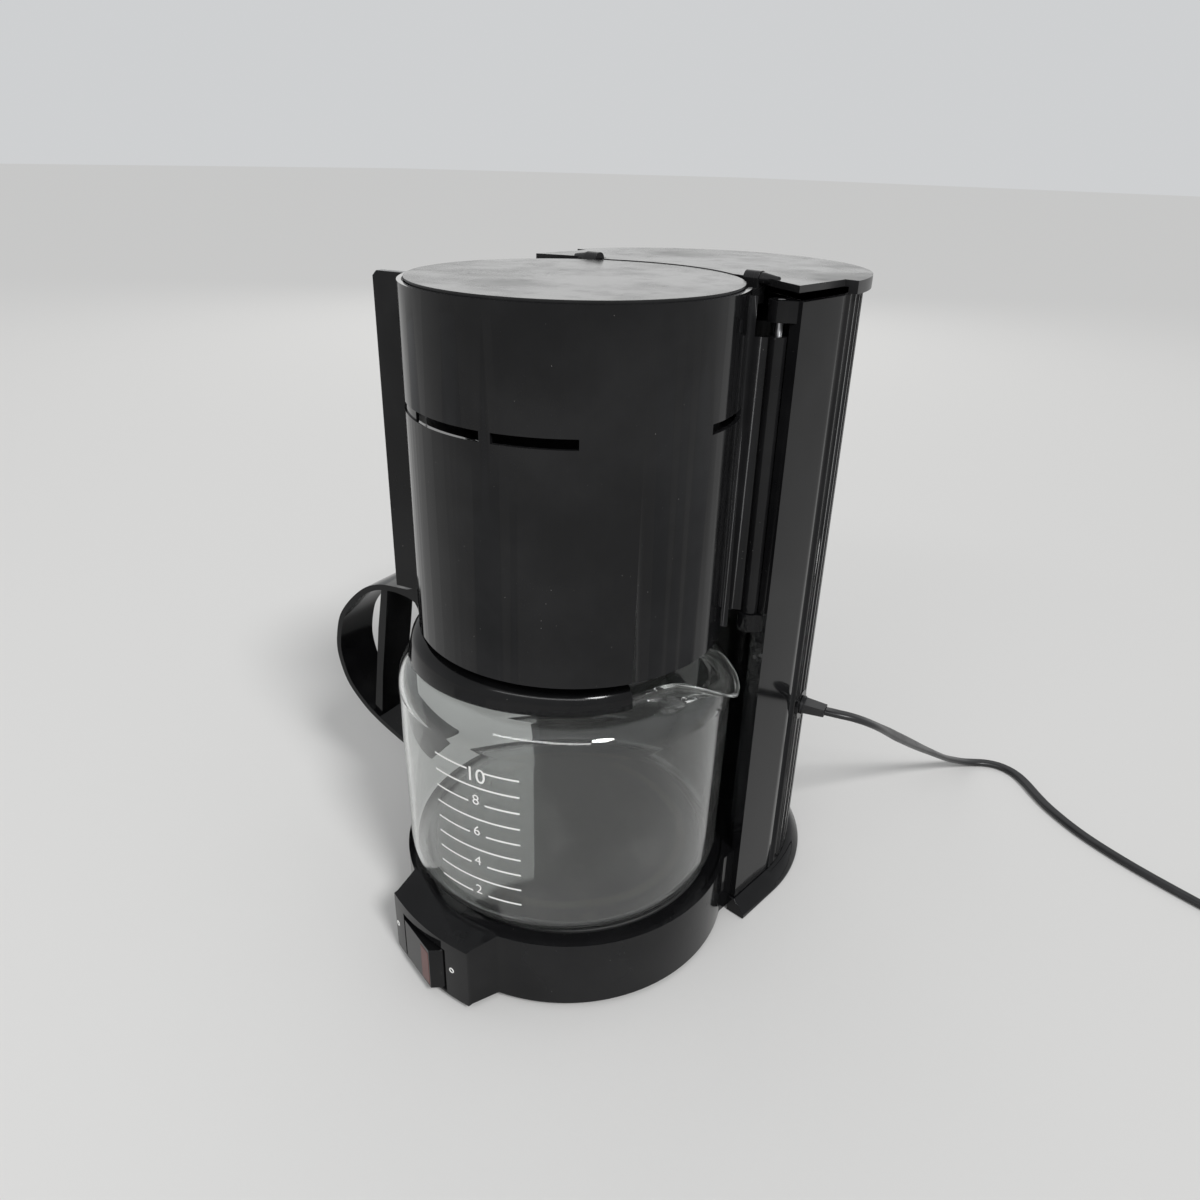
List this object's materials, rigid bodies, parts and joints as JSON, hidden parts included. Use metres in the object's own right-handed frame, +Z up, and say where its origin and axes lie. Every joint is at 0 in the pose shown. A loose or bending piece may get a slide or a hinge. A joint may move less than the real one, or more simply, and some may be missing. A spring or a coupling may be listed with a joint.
{
  "type": "drip coffee maker",
  "caption": "Cylindrical drip coffee maker with a hot plate drum, a glass jug with a side handle, a swing-out filter, a fluted water column, a rocker switch and a mains lead",
  "frame": {"origin": "On the tabletop, under the vertical axis of the round base, hot plate and filter", "axes": "+Z up, -Y to the front where the rocker switch is, +Y to the water column behind, +X to the side of the filter's hinge, of the jug's lip and of the lead"},
  "size_m": [0.4788, 0.4158, 0.3105],
  "materials": {
    "housing": "glossy moulded black",
    "satin": "satin moulded black",
    "grip": "glossy moulded black, softly worn",
    "hot_plate": "dark non-stick coat",
    "heater": "as cast",
    "steel": "plain steel",
    "screws": "zinc plated",
    "brass": "bright brass",
    "seal": "matte",
    "feet": "matte brown",
    "hose": "milky silicone",
    "tank": "smoke grey",
    "glass": "clear polished",
    "print": "white printed marks",
    "lens": "translucent red",
    "lead": "soft satin black"
  },
  "bodies": {
    "machine": {"base_shell": "housing", "base_plate": "satin", "base_screws": "screws", "rubber_feet": "feet", "hot_plate": "hot_plate", "plate_seal": "seal", "heater": "heater", "heater_clamp": "steel", "thermostat": "satin", "thermal_fuse": "steel", "cold_hose": "hose", "check_valve": "print", "riser_tube": "hose", "column_housing": "housing", "column_front": "housing", "column_floor": "satin", "column_screws": "screws", "plinth": "housing", "water_tank": "tank", "brew_head": "housing", "spray_plate": "satin", "lid_hinge_pins": "steel", "filter_hinge_pin": "steel", "switch_body": "satin", "rocker_pin": "steel", "switch_terminals": "brass", "strain_relief": "lead", "power_cord": "lead", "cord_coil": "lead", "plug_body": "lead", "plug_blades": "brass"},
    "filter": {"filter_housing": "housing", "filter_basket": "satin", "drip_spring": "steel"},
    "drip_valve": {"drip_valve": "satin"},
    "tank_lid": {"tank_lid": "housing"},
    "rocker": {"rocker": "grip", "rocker_lens": "lens"},
    "jug": {"jug_glass": "glass", "jug_scale": "print", "jug_collar": "grip", "jug_handle": "grip", "handle_screw": "screws", "jug_lid": "satin"}
  },
  "joints": [
    {"name": "filter_swing", "type": "hinge", "parent": "machine", "child": "filter", "pos_m": [0.066, 0.04503, 0.23], "axis": [0, 0, 1], "range_deg": [0, 115]},
    {"name": "drip_valve_lift", "type": "slide", "parent": "filter", "child": "drip_valve", "axis": [0, 0, 1], "range_m": [0, 0.002], "stiffness_N_per_m": 300, "deforming": ["drip_spring"]},
    {"name": "tank_lid_hinge", "type": "hinge", "parent": "machine", "child": "tank_lid", "pos_m": [0, 0.0575, 0.3076], "axis": [1, 0, 0], "range_deg": [0, 90]},
    {"name": "rocker_pivot", "type": "hinge", "parent": "machine", "child": "rocker", "pos_m": [-0.002, -0.0842, 0.017], "axis": [0, 0, 1], "range_deg": [0, 19]},
    {"name": "jug_slide", "type": "slide", "parent": "machine", "child": "jug", "axis": [0, -1, 0], "range_m": [0, 0.18]}
  ]
}
